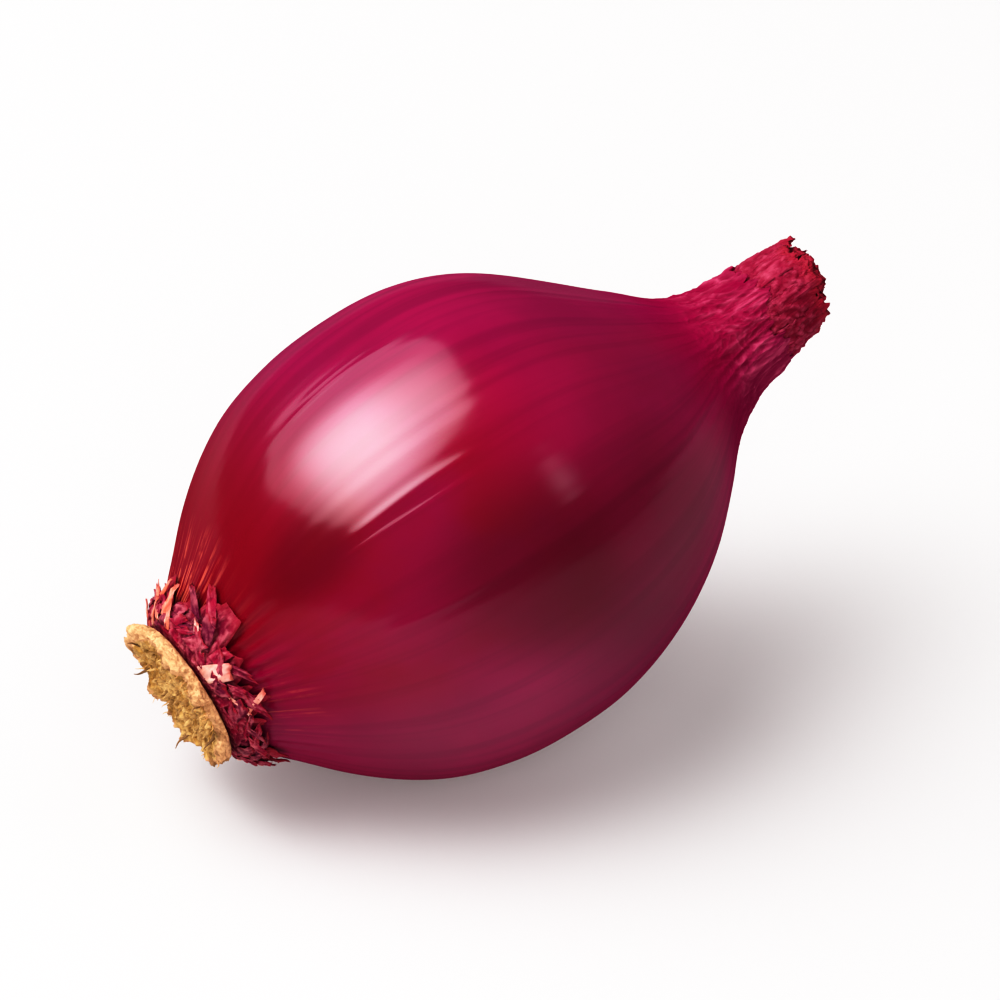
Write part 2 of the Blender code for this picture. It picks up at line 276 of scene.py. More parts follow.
# %% The relief on the skin
AROUND = 400
FLAT_HEIGHT = 0.022
VEIN_HEIGHT = 0.0018
GATHER_HEIGHT = 0.075
FOLD_HEIGHT = 0.03
PLEAT_HEIGHT = 0.022
CRUMPLE_HEIGHT = 0.19
LUMP_HEIGHT = 0.11
CREASES = (
    (-34.4, -6.4, 1.2, 0.050, 1.5),
    (-38.4, -6.9, 0.4, 0.046, 0.8),
    (3.6, -5.8, 0.9, 0.026, 0.9),
    (6.4, -4.4, 0.6, 0.020, 0.8),
    (-20.0, -5.0, 5.0, 0.006, 1.6),
    (37.0, -4.0, -0.4, 0.020, 1.0),
    (-62.0, -7.0, 1.0, 0.018, 1.3),
    (64.0, -3.0, 6.0, 0.030, 1.6),
    (118.0, -6.0, 3.0, 0.030, 1.8),
    (-118.0, -2.0, 6.5, 0.030, 1.6),
    (160.0, -5.0, 5.0, 0.030, 1.8),
)


def crease_relief(angles, stations):
    """Narrow raised lines: a bell curve across each crease, faded in and out along it."""
    total = 0
    for degrees, start, end, height, width in CREASES:
        drift = math.radians(degrees) + 0.006 * np.sin(0.7 * stations + degrees)
        away = np.angle(np.exp(1j * (angles - drift)))
        fade = smooth_step(stations, start, 1.5) * (1 - smooth_step(stations, end - 1.5, 1.5))
        total = total + height * fade * np.exp(-((away / math.radians(width)) ** 2))
    return total


def skin_relief(angles, stations):
    """Height of the relief over the plain outline, in mm, and how raised the dry crumples are, 0 to 1."""
    rng = np.random.default_rng(11)
    belly = np.exp(-((stations / 8.0) ** 2))
    uneven = curve_through(OUTLINE, stations) * belly
    uneven = uneven * (0.012 * np.cos(2 * angles - 1.2) + 0.008 * np.cos(3 * angles + 1))
    taut = smooth_step(stations, -11.0, 4.0) * (1 - smooth_step(stations, 8.0, 5.0))
    flats = FLAT_HEIGHT * taut * waves(rng, angles, stations, (5, 13), (40, 90), 12)
    veins = VEIN_HEIGHT * taut * waves(rng, angles, stations, (36, 90), (60, 160), 24)
    gathers = smooth_step(stations, 8.5, 6.0) * GATHER_HEIGHT * np.cos(9 * angles + 0.8 * np.sin(2 * angles))
    folds = waves(rng, angles, stations, (14, 30), (9, 22), 14)
    folds = smooth_step(stations, 9.5, 4.5) * FOLD_HEIGHT * (1 - np.abs(folds))
    radius = curve_through(OUTLINE, stations)
    turned = angles + 0.1 * (stations - 11.4)
    place = wrapped(radius, turned, 0.42 * stations)
    lumps = noise(place / 1.3, 77)
    raised = crumple(place, 71, 0.58)
    dry = smooth_step(stations, 11.2, 3.9)
    root_pleats = waves(rng, angles, stations, (34, 56), (12, 30), 14)
    root_pleats = PLEAT_HEIGHT * (1 - smooth_step(stations, -11.2, 2.4)) * root_pleats
    relief = uneven + flats + veins + gathers + folds + root_pleats + crease_relief(angles, stations)
    return relief + dry * (CRUMPLE_HEIGHT * (raised - 0.4) + LUMP_HEIGHT * lumps), dry * raised


def torn_edge(rng, angles):
    """How far the sleeve reaches past the neck's edge: long lobes, with teeth of two sizes torn in."""
    lobes = 0.5 * waves(rng, angles, 0 * angles, (2, 6), (1, 2), 5)
    teeth = 0.22 * saw(19 * angles + 2 * np.sin(4 * angles)) + 0.12 * saw(43 * angles + 1.5)
    return np.clip(0.35 + 0.5 * lobes + teeth, -0.5, 1.2)


# %% [markdown]
# The grid is densest on the near side, where the light is sharpest, and its rows are closest on the neck.
# The torn edge shifts the last rows along the axis, and a few more rings turn back down to make the
# sleeve's inside. A soft limit on height presses the underside to the floor, which leaves a small flat
# spot. Each point also keeps its place in the pattern of growth, as "flow", for the finishes to read.

# %% The skin as one closed surface
SLEEVE_THICKNESS = 0.09
SLEEVE_HUG = 0.16
DENSEST = math.radians(-18.0)
CROWDING = 0.3
even = np.linspace(-math.pi, math.pi, AROUND, endpoint=False)[None, :]
angles = even - CROWDING * np.sin(even - DENSEST)
rows = np.concatenate(
    [
        np.linspace(FOOT, -8.0, 36, endpoint=False),
        np.linspace(-8.0, 9.5, 62, endpoint=False),
        np.linspace(9.5, 11.5, 22, endpoint=False),
        np.linspace(11.5, NECK_EDGE, 112),
    ]
)[:, None]
edge = torn_edge(np.random.default_rng(5), angles)
stations = rows + edge * smooth_step(rows, 13.0, NECK_EDGE - 13.0)
relief, raised = skin_relief(angles, stations)
hug = SLEEVE_HUG * np.clip(stations - NECK_EDGE, 0, None)
radii = curve_through(OUTLINE, stations) + relief - hug
top_station, top_radius = stations[-1], radii[-1]
for down, thick in ((0.03, 0.5), (-0.05, 1.0), (-0.35, 1.3), (-0.9, 1.6)):
    stations = np.vstack([stations, top_station + down])
    radii = np.vstack([radii, top_radius - SLEEVE_THICKNESS * thick])
for depth, radius in ((15.2, 1.78), (14.9, 1.6), (14.85, 0.8)):
    stations = np.vstack([stations, np.full((1, AROUND), depth)])
    radii = np.vstack([radii, np.full((1, AROUND), radius)])
raised = np.vstack([raised, np.zeros((len(stations) - len(raised), AROUND))])
foot_rings = np.array([[FOOT - 0.1, 1.2], [FOOT - 0.08, 2.3]])
stations = np.vstack([np.repeat(foot_rings[:, :1], AROUND, axis=1), stations])
radii = np.vstack([np.repeat(foot_rings[:, 1:], AROUND, axis=1), radii])
raised = np.vstack([np.zeros((2, AROUND)), raised])
skin_points = about_axis(stations, radii, angles)

plain = about_axis(rows, curve_through(OUTLINE, rows), angles)
BELLY_HEIGHT = 1000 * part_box("bulb")[1].z - (plain @ UP).max()
height = skin_points @ UP + BELLY_HEIGHT
PRESS = 0.04
pressed = (height + np.sqrt(height**2 + PRESS**2)) / 2
skin_points += (pressed - height)[..., None] * UP
flow = wrapped(FLOW_RADIUS, angles, stations)
skin = tubes("bulb_skin", skin_points[None], {"flow": flow[None], "raised": raised[None]})
print("middle of the belly is", round(BELLY_HEIGHT, 2), "mm up")

# %% [markdown]
# ## Dry sheets
#
# Torn skin and dry leaf ends are both thin sheets that leave the bulb at one end and stop in a ragged
# tear. One function makes a whole bundle of them: each sheet's middle surface is a path away from the
# axis, spread sideways, crumpled, and torn back by noise; its two faces are the middle surface moved
# half the thickness along its own normal, thinner towards the edges, and the faces are joined round the
# border. Solidify could thicken them, but it gives one thickness and a square edge.

# %% A bundle of thin closed sheets
def each(count, *given):
    """Each value as an array of count numbers, whether it was given as one number or as an array."""
    return [np.broadcast_to(np.asarray(value, float), (count,)) for value in given]


def sheet_bundle(name, rng, path, angle, width, start, length, lift, tone, style):
    """Thin sheets side by side round the axis, each along path: rows of (distance, station, radius).

    Middle surface: the path's radius, plus lift x share^2 so that the tip stands off, plus crumple. style
    holds the grid (rows, columns), the size and height of the crumple, the thickness, how much of the tip
    is torn off (ragged), how narrow it ends (taper), how far it turns (twist) and how its sides rise (cup).
    """
    count = len(angle)
    along = np.linspace(0, 1, style["rows"])[None, :, None]
    across = np.linspace(-1, 1, style["columns"])[None, None, :]
    columns = each(count, angle, width, start, length, lift, tone)
    angle, width, start, length, lift, tone = (column[:, None, None] for column in columns)
    phase = rng.uniform(0, 2 * math.pi, (2, count, 1, 1))
    number = 7.7 * np.arange(count)[:, None, None]
    place = np.stack(np.broadcast_arrays(1.4 * across * width, 0.3 * number, number), axis=-1)
    tear = np.clip(0.5 + 0.7 * noise(place, 3) + 0.4 * noise(3.3 * place, 4), 0, 1)
    share = along * (1 - style["ragged"] * tear * along**2)
    distance, station, radius = np.array(path).T
    path_station = np.interp(start + share * length, distance, station)
    path_radius = np.interp(start + share * length, distance, radius)
    sideways = across * width / 2 * (1 - (1 - style["taper"]) * share**2)
    sideways = sideways + 0.06 * width * np.sin(3 * share + phase[0])
    place = np.stack(np.broadcast_arrays(sideways, 0.6 * share * length, number), axis=-1)
    folds = crumple(place, int(rng.integers(1000)), style["size"])
    out = path_radius + lift * share**2 + style["cup"] * across**2 * share
    out = out + style["crumple"] * (folds - 0.4)
    turn = angle + style["twist"] * np.sin(phase[1]) * share + sideways / np.maximum(path_radius, 0.6)
    middle = about_axis(path_station, out, turn)
    normal = np.cross(np.gradient(middle, axis=1), np.gradient(middle, axis=2))
    normal /= np.linalg.norm(normal, axis=-1, keepdims=True) + 1e-9
    half = style["thickness"] / 2 * (1 - 0.75 * np.abs(across) ** 3) * (1 - 0.5 * along**4)
    half = half[..., None]
    rings = np.concatenate([middle + normal * half, (middle - normal * half)[:, :, ::-1]], axis=2)
    values = {"spread": FLOW_RADIUS * turn, "tone": tone, "tip": along, "raised": folds}
    for label, grid in values.items():
        grid = np.broadcast_to(grid, middle.shape[:3])
        values[label] = np.concatenate([grid, grid[:, :, ::-1]], axis=2)
    values["flow"] = np.stack([values.pop("spread"), 7 * values["tone"], rings[..., 0]], axis=-1)
    return tubes(name, rings, values)


# %% [markdown]
# ## Dry leaf ends in the neck
#
# Above the sleeve stands what is left of the leaves: a tight bundle of crimson strips, rubbed off in a
# slanted ragged end. Six rings of sheets, one inside another to the heart, give the depth that a single
# crumpled tube wouldn't, and their torn tips break up the outline. A row of LEAF_RINGS is its name, the
# number of strips, how far in it stands, their width and length, and the least and most lift of a tip.

# %% The leaf bundle
LEAF_PATH = (
    (0.0, 15.2, 1.8),
    (0.8, 16.0, 2.12),
    (1.6, 16.8, 2.14),
    (2.6, 17.8, 2.02),
    (4.2, 19.4, 1.78),
)
NARROWEST = 0.25
LEAF_STYLE = {
    "rows": 42,
    "columns": 17,
    "size": 0.55,
    "crumple": 0.26,
    "thickness": 0.1,
    "ragged": 0.17,
    "taper": 0.85,
    "twist": 0.2,
    "cup": -0.04,
}
LEAF_RINGS = (
    ("outer", 17, 0.0, 1.45, 3.45, -0.15, 0.12),
    ("second", 15, 0.3, 1.4, 3.65, -0.25, 0.15),
    ("third", 13, 0.62, 1.3, 3.75, -0.3, 0.25),
    ("fourth", 11, 0.98, 1.15, 3.75, -0.3, 0.3),
    ("fifth", 9, 1.35, 1.0, 3.75, -0.3, 0.3),
    ("heart", 5, 1.72, 0.8, 3.75, -0.1, 0.3),
)


def leaf_ring(rng, name, count, inward, width, reach, lowest, highest):
    """A ring of dry leaf strips: the path moved inward, with lengths that follow the slanted cut."""
    angle = 2 * math.pi * (np.arange(count) + rng.uniform(-0.5, 0.5, count)) / count
    length = reach + 0.35 * np.cos(angle) + rng.uniform(-0.35, 0.25, count)
    path = [(away, station, max(radius - inward, NARROWEST)) for away, station, radius in LEAF_PATH]
    widths = width * rng.uniform(0.85, 1.25, count)
    tone = rng.uniform(0, 1, count)
    lifts = rng.uniform(lowest, highest, count)
    name = "leaf_ends_" + name
    return sheet_bundle(name, rng, path, angle, widths, 0.0, length, lifts, tone, LEAF_STYLE)


rng = np.random.default_rng(21)
leaf_pieces = [leaf_ring(rng, *row) for row in LEAF_RINGS]

# %% [markdown]
# ## Torn skin at the root end
#
# Round the root plate the outer skin has dried, split and shrunk into a dark crumpled collar that hugs
# the bulb. One closed collar makes its body, with the same crumple as the neck, and two bundles of scraps
# lie on it: dark ones, and a few pale or orange ones where the light gets through a single layer. The
# skin has not torn back evenly: COLLAR_EDGE says how far it reaches at each angle, with a tongue at -20
# degrees. The collar stops at COLLAR_SHARE of that, and the scraps go on.

# %% The collar of crumpled skin
COLLAR_PATH = (
    (-12.85, 2.5),
    (-12.8, 3.0),
    (-12.5, 3.4),
    (-12.1, 3.72),
    (-11.6, 4.08),
    (-11.1, 4.5),
    (-10.6, 4.95),
)
COLLAR_EDGE = (
    (-150, 0.85),
    (-110, 0.75),
    (-78, 0.78),
    (-54, 1.0),
    (-38, 1.15),
    (-20, 1.3),
    (-2, 1.0),
    (12, 0.72),
    (60, 0.75),
    (120, 0.9),
    (180, 0.85),
)
COLLAR_SHARE = 0.76
COLLAR_CRUMPLE = 0.36


def collar_reach(angles):
    """How far the torn skin reaches at each angle: straight lines between the rows of COLLAR_EDGE."""
    degrees, reach = np.array(COLLAR_EDGE).T
    return np.interp(np.degrees(angles), degrees, reach, period=360)


def make_collar():
    """A closed collar: its outside follows COLLAR_PATH to a torn edge, its inside comes back beneath."""
    rng = np.random.default_rng(31)
    angles = np.linspace(-math.pi, math.pi, 420, endpoint=False)[None, :]
    share = np.linspace(0, 1, 54)[:, None]
    around = wrapped(4.0, angles, 0.0)
    tear = 0.3 * noise(around, 35) + 0.16 * noise(2.7 * around, 36)
    reach = share * (COLLAR_SHARE * collar_reach(angles) + tear * share**2)
    at = np.linspace(0, 1, len(COLLAR_PATH))
    station, radius = (np.interp(reach, at, column) for column in np.array(COLLAR_PATH).T)
    place = wrapped(radius, angles, 0.7 * station)
    folds = crumple(place, 33, 0.6)
    pleats = 0.04 * waves(rng, angles, station, (16, 34), (4, 9), 10)
    folded = COLLAR_CRUMPLE * (folds - 0.4) * (1 - 0.3 * share) + pleats
    radius = radius + 0.1 + smooth_step(share, 0, 0.3) * folded
    outside = about_axis(station, radius, angles)
    inside = about_axis(station[::-1] - 0.03, radius[::-1] - 0.12 - 0.1 * (1 - share[::-1]), angles)
    rings = np.concatenate([outside, inside])
    flow = wrapped(FLOW_RADIUS, angles, rings[..., 0])
    folds = np.concatenate([folds, folds[::-1]])
    share = np.concatenate([share, share[::-1]]) + 0 * folds
    tone = 0.5 + 0.25 * waves(rng, angles, station, (3, 9), (2, 6), 8)
    tone = np.clip(np.concatenate([tone, tone[::-1]]), 0, 1)
    values = {"flow": flow, "raised": folds, "tip": share, "tone": tone}
    return tubes("skin_collar", rings[None], {label: grid[None] for label, grid in values.items()})


collar = make_collar()

# %% [markdown]
# The dark scraps are drawn by lot. The pale ones are listed, a row each: angle in degrees, width, where
# it starts on the path, length, how far its tip stands off, and its tone from orange to pinkish white.
# Most lie at the top, where the skin is thinnest, and the widest is the pale flake on the near side.

# %% Scraps lying on the collar
SCRAP_PATH = (
    (0.0, -12.8, 3.05),
    (0.4, -12.65, 3.45),
    (0.9, -12.3, 3.86),
    (1.4, -11.9, 4.15),
    (2.0, -11.4, 4.5),
    (2.65, -10.95, 4.86),
    (3.5, -10.3, 5.3),
)
SCRAP_STYLE = {
    "rows": 20,
    "columns": 13,
    "size": 0.5,
    "crumple": 0.2,
    "thickness": 0.07,
    "ragged": 0.35,
    "taper": 0.75,
    "twist": 0.3,
    "cup": 0.03,
}
SCRAPS = 84

rng = np.random.default_rng(41)
turns = 2 * math.pi * (np.arange(SCRAPS) + rng.uniform(-0.6, 0.6, SCRAPS)) / SCRAPS
dark_scraps = sheet_bundle(
    "skin_scraps_dark",
    rng,
    SCRAP_PATH,
    turns,
    rng.uniform(0.45, 0.95, SCRAPS),
    rng.uniform(0.0, 1.6, SCRAPS) * collar_reach(turns),
    rng.uniform(0.45, 1.05, SCRAPS) * collar_reach(turns),
    rng.uniform(-0.08, 0.18, SCRAPS),
    rng.uniform(0, 1, SCRAPS),
    SCRAP_STYLE,
)
PALE = np.array(
    [
        (9.0, 0.35, 0.2, 1.2, 0.30, 0.2),
        (17.0, 0.40, 0.6, 1.4, 0.20, 0.1),
        (24.0, 0.35, 0.3, 1.5, 0.30, 0.3),
        (33.0, 0.30, 0.8, 1.3, 0.15, 0.1),
        (41.0, 0.40, 0.0, 1.1, 0.35, 0.2),
        (-40.0, 0.90, 0.1, 1.6, 0.20, 1.0),
        (-22.0, 0.40, 0.9, 0.7, 0.15, 0.7),
        (-62.0, 0.30, 0.7, 0.6, 0.12, 0.5),
        (-75.0, 0.30, 1.1, 1.2, 0.05, 0.4),
        (56.0, 0.40, 0.0, 0.9, 0.35, 0.1),
        (80.0, 0.35, 0.5, 1.1, 0.20, 0.3),
        (125.0, 0.45, 0.3, 1.1, 0.15, 0.8),
        (168.0, 0.30, 0.6, 1.2, 0.10, 0.2),
        (-155.0, 0.35, 0.4, 1.0, 0.15, 0.5),
    ]
).T
pale_turns = np.radians(PALE[0])
pale_scraps = sheet_bundle("skin_scraps_pale", rng, SCRAP_PATH, pale_turns, *PALE[1:], SCRAP_STYLE)

# %% [markdown]
# ## The root plate
#
# The stem that the roots grew from has dried to a cork disc. Its rim is pale and chipped, its face is a
# little hollow, and pitted where roots broke off. The face is a height field over the disc: one bump with
# a dimple for each root, set out by the golden angle so that no two line up, and a crumple over them.

# %% The cork disc
PLATE_FRONT = -12.98
PLATE_BACK = -13.56
PLATE_RADIUS = 3.2
RIM_WIDTH = 0.16
FACE_SINK = 0.2
FACE_ROOTS = 52
FACE_REACH = 2.85
CORK_CRUMPLE = 0.3
GOLDEN = math.pi * (3 - math.sqrt(5))


def root_relief(sideways, upward, rng):
    """Sum over the roots of a ring-shaped bump: a bell curve minus a narrower, taller one."""
    total = 0
    for k in range(FACE_ROOTS):
        reach = FACE_REACH * math.sqrt((k + 0.5) / FACE_ROOTS)
        turn = GOLDEN * k + rng.uniform(-0.25, 0.25)
        away = (sideways - reach * math.sin(turn)) ** 2 + (upward - reach * math.cos(turn)) ** 2
        wide = rng.uniform(0.15, 0.26)
        tall = rng.uniform(0.08, 0.3)
        total = total + tall * np.exp(-away / wide**2) - 1.5 * tall * np.exp(-away / (0.5 * wide) ** 2)
    return total


def make_plate():
    """Rows run from the middle of the hidden front, over the rim, and in to the middle of the face.

    The rim is half an ellipse swept round, frayed by waves and zigzags, chipped by a crumple and grown out
    to one side; the face sinks by FACE_SINK.
    """
    rng = np.random.default_rng(51)
    angles = np.linspace(-math.pi, math.pi, 280, endpoint=False)[None, :]
    fray = 0.1 * waves(rng, angles, 0 * angles, (4, 15), (1, 2), 10)
    fray = fray + 0.04 * saw(31 * angles + 2 * np.sin(3 * angles)) + 0.03 * saw(67 * angles)
    swell = 0.14 * np.cos(angles - 0.9) + 0.08 * waves(rng, angles, 0 * angles, (2, 6), (1, 2), 5)
    leaning = 0.32 * (0.5 + 0.5 * np.cos(angles - 0.5)) ** 1.5
    middle, half = (PLATE_FRONT + PLATE_BACK) / 2, (PLATE_FRONT - PLATE_BACK) / 2
    bend = np.linspace(0, math.pi, 22)
    flat = np.full(3, PLATE_FRONT)
    rim_radius = PLATE_RADIUS - RIM_WIDTH + RIM_WIDTH * np.sin(bend)
    face_radius = np.linspace(PLATE_RADIUS - 0.24, 0.04, 92)
    sink = FACE_SINK * (1 - smooth_step(face_radius, 2.5, 0.5))
    radius = np.concatenate([(0.6, 2.0, PLATE_RADIUS - 0.4), rim_radius, face_radius])[:, None]
    station = np.concatenate([flat, middle + half * np.cos(bend), PLATE_BACK + sink])[:, None]
    back = np.concatenate([0 * flat, bend / math.pi, smooth_step(face_radius, 1.9, 0.9)])[:, None]
    edge = np.concatenate([0 * flat, np.sin(bend / 2), smooth_step(face_radius, 2.2, 0.9)])[:, None]
    on_face = np.concatenate([0 * flat, 0 * bend, 1 + 0 * face_radius])[:, None]
    radius = radius + (fray + leaning) * edge
    station = station - back * (swell * 0.7 + 1.6 * np.clip(fray, -0.08, 0.14))
    sideways, upward = radius * np.sin(angles), radius * np.cos(angles)
    bumps = root_relief(sideways, upward, rng) * on_face * (1 - smooth_step(radius, 2.95, 0.25))
    place = np.stack(np.broadcast_arrays(sideways, upward, 0 * radius), axis=-1)
    grain = CORK_CRUMPLE * (crumple(place, 57, 0.5) - 0.4) * (1 - smooth_step(radius, 3.1, 0.15))
    place = np.stack(np.broadcast_arrays(3.1 * np.sin(angles), 3.1 * np.cos(angles), station), axis=-1)
    rough = CORK_CRUMPLE * (crumple(place, 59, 0.34) - 0.45) * edge * (1 - 0.6 * on_face)
    station = station - bumps - grain * on_face
    radius = radius + rough
    pit = np.clip(0.35 - 2.2 * bumps - 2.6 * grain, 0, 1) * on_face
    rings = about_axis(station, radius, angles)
    face = on_face * (1 - smooth_step(radius, 2.8, 0.3))
    return tubes("root_plate_cork", rings[None], {"pit": pit[None], "face": face[None]})


plate = make_plate()

# %% [markdown]
# Roots are tubes: a middle line that leaves the face, leans and kinks, with a ring of five to eight
# points round it that shrinks to the broken end. Short thick ones are stubs, very thin ones are fibres of
# the rim, and the five long ones are the hairs. A particle system could set them out, but then their
# ends and thickness would all be alike.

# %% Root stubs, rim fibres and root hairs
ROOTED = 0.35


def root_tubes(name, rng, reach, turn, length, thick, lean, kink, around=8, rows=9):
    """Tubes that start in the plate at (reach, turn), leave it by length and lean outwards by lean."""
    count = len(turn)
    columns = each(count, reach, turn, length, thick, lean)
    reach, turn, length, thick, lean = (column[:, None] for column in columns)
    share = np.linspace(0, 1, rows)[None, :]
    sway = kink * rng.normal(size=(2, count, 1)) * share**1.5
    turns, phase = rng.uniform(4, 9, (2, count, 1)), rng.uniform(0, 6, (2, count, 1))
    sway = sway + 0.5 * kink * np.sin(share * turns + phase)
    sway = sway * smooth_step(share, 0.0, 0.4)
    station = PLATE_BACK + ROOTED - (length + ROOTED) * share
    away = reach + lean * share**1.4
    middle = about_axis(station, away, turn)
    middle[..., 1] += sway[0]
    middle[..., 2] += sway[1]
    corner = np.linspace(0, 2 * math.pi, around, endpoint=False)[None, None, :]
    uneven = 1 + 0.18 * np.sin(3 * corner + 5 * share[..., None] + rng.uniform(0, 6, (count, 1, 1)))
    size = (thick * (1.15 - 0.95 * share**1.5))[..., None] * uneven
    along = np.gradient(middle, axis=1)
    along /= np.linalg.norm(along, axis=-1, keepdims=True)
    side = np.cross(along, (0.0, 0.0, 1.0))
    side /= np.linalg.norm(side, axis=-1, keepdims=True)
    other = np.cross(along, side)
    rings = middle[:, :, None] + size[..., None] * (
        np.cos(corner)[..., None] * side[:, :, None] + np.sin(corner)[..., None] * other[:, :, None]
    )
    tone = np.broadcast_to(rng.uniform(0, 1, (count, 1, 1)), rings.shape[:3])
    return tubes(name, rings, {"tone": tone})


rng = np.random.default_rng(61)
STUBS = 64
RIM_FIBRES = 44
stub_reach = 2.5 * np.sqrt((np.arange(STUBS) + 0.5) / STUBS)
stub_turn = GOLDEN * np.arange(STUBS) + rng.uniform(-0.2, 0.2, STUBS)
stub_length = rng.uniform(0.0, 0.2, STUBS)
stub_thick = rng.uniform(0.06, 0.17, STUBS)
stubs = root_tubes(
    "root_stubs", rng, stub_reach, stub_turn, stub_length,
    thick=stub_thick, lean=0.1, kink=0.05,
)
fibre_turn = rng.uniform(-math.pi, math.pi, RIM_FIBRES)
fibre_reach = rng.uniform(2.6, 3.15, RIM_FIBRES)
fibre_length = 0.05 + 0.35 * rng.uniform(0, 1, RIM_FIBRES) ** 2
fibres = root_tubes(
    "rim_fibres", rng, fibre_reach, fibre_turn, fibre_length,
    thick=0.038, lean=0.22, kink=0.1, around=5, rows=8,
)
hair_turn = np.radians([52.0, 97.0, 166.0, 264.0, 300.0])
hair_length = np.array([0.45, 0.55, 0.7, 0.6, 0.3])
hairs = root_tubes(
    "root_hairs", rng, 2.6, hair_turn, hair_length,
    thick=0.08, lean=0.45, kink=0.1, around=6, rows=12,
)

# %% [markdown]
# ## Shader helpers
#
# Every finish is built from nodes. `put` adds a node with its settings and links in one line, and the
# other helpers name the sums that recur: a mix of two colours, a product, a sum, and a smooth rise.

# %% Node helpers
def put(tree, kind, inputs=None, **settings):
    """One node, with its settings, and its inputs by name or number: a value, or an output to link."""
    made = tree.nodes.new(kind)
    for label, value in settings.items():
        setattr(made, label, value)
    for label, value in (inputs or {}).items():
        if isinstance(value, bpy.types.NodeSocket):
            tree.links.new(value, made.inputs[label])
        else:
            made.inputs[label].default_value = value
    return made


def mixed(tree, share, first, second):
    """The first colour where share is 0, the second where it is 1."""
    values = {0: share}
    for slot, colour in ((6, first), (7, second)):
        values[slot] = colour if isinstance(colour, bpy.types.NodeSocket) else (*colour, 1)
    return put(tree, "ShaderNodeMix", values, data_type="RGBA").outputs[2]


def times(tree, first, second):
    """The product of two numbers, each a value or an output."""
    return put(tree, "ShaderNodeMath", {0: first, 1: second}, operation="MULTIPLY").outputs[0]


def plus(tree, first, second):
    """The sum of two numbers, each a value or an output."""
    return put(tree, "ShaderNodeMath", {0: first, 1: second}, operation="ADD").outputs[0]


def ramp(tree, value, low, high, to_low=0.0, to_high=1.0):
    """value from low to high as a smooth rise from to_low to to_high."""
    limits = {"Value": value, "From Min": low, "From Max": high, "To Min": to_low, "To Max": to_high}
    return put(tree, "ShaderNodeMapRange", limits, interpolation_type="SMOOTHSTEP").outputs[0]


def held(tree, label, output="Fac"):
    """A value that the mesh holds at its points."""
    return put(tree, "ShaderNodeAttribute", attribute_name=label).outputs[output]


def object_place(tree):
    """The place on the piece in metres, which suits patterns with no direction."""
    return put(tree, "ShaderNodeTexCoord").outputs["Object"]


def new_group(name, sockets):
    """An empty node group with these inputs (name, type, value), and one Mask output."""
    group = bpy.data.node_groups.new(name, "ShaderNodeTree")
    for label, kind, value in sockets:
        socket = group.interface.new_socket(label, in_out="INPUT", socket_type=kind)
        if value is not None:
            socket.default_value = value
    group.interface.new_socket("Mask", in_out="OUTPUT", socket_type="NodeSocketFloat")
    return group, group.nodes.new("NodeGroupInput").outputs, group.nodes.new("NodeGroupOutput").inputs


def use(tree, group, fineness, low, high, **others):
    """A copy of a group in a material: its noise this fine and cut between low and high."""
    given = {"Fineness": fineness, "Low": low, "High": high, **others}
    return put(tree, "ShaderNodeGroup", given, node_tree=group).outputs["Mask"]


def bump(tree, shader, height, strength, distance):
    """Give the shader a normal that leans as if height, 0 to 1, stood up by this distance in metres."""
    given = {"Strength": strength, "Distance": distance, "Height": height}
    tree.links.new(put(tree, "ShaderNodeBump", given).outputs[0], shader.inputs["Normal"])


# %% [markdown]
# ## Two effects as node groups
#
# Two effects serve several finishes, so each is a node group that every material uses with its own
# values. **Streaks** are the long cells of a leaf base: noise drawn out along the growth by shrinking the
# third coordinate of flow. **Mottle** clouds a colour: noise cut between two levels. Both put out a mask,
# so the colours stay with the material.

# %% The streaks group
streaks, given, result = new_group(
    "streaks",
    (
        ("Flow", "NodeSocketVector", None),
        ("Fineness", "NodeSocketFloat", 1.0),
        ("Length", "NodeSocketFloat", 0.05),
        ("Low", "NodeSocketFloat", 0.45),
        ("High", "NodeSocketFloat", 0.7),
    ),
)
stretch = put(streaks, "ShaderNodeCombineXYZ", {0: 1.0, 1: 1.0, 2: given["Length"]}).outputs[0]
drawn_out = {0: given["Flow"], 1: stretch}
drawn_out = put(streaks, "ShaderNodeVectorMath", drawn_out, operation="MULTIPLY").outputs[0]
grain = put(streaks, "ShaderNodeTexNoise", {"Vector": drawn_out, "Scale": given["Fineness"], "Detail": 3.0})
streaks.links.new(ramp(streaks, grain.outputs[0], given["Low"], given["High"]), result["Mask"])

# %% The mottle group
mottle, given, result = new_group(
    "mottle",
    (
        ("Place", "NodeSocketVector", None),
        ("Fineness", "NodeSocketFloat", 300.0),
        ("Low", "NodeSocketFloat", 0.35),
        ("High", "NodeSocketFloat", 0.65),
    ),
)
clouds = {"Vector": given["Place"], "Scale": given["Fineness"], "Detail": 4.0}
clouds = put(mottle, "ShaderNodeTexNoise", clouds)
mottle.links.new(ramp(mottle, clouds.outputs[0], given["Low"], given["High"]), result["Mask"])


def new_finish(name, **constants):
    """A material with its shader, and the constants of the finish set on the shader's own sockets."""
    made = bpy.data.materials.new(name)
    made.use_nodes = True
    shader = made.node_tree.nodes["Principled BSDF"]
    for label, value in constants.items():
        shader.inputs[label.replace("_", " ")].default_value = value
    print("finish:", name)
    return made, made.node_tree, shader
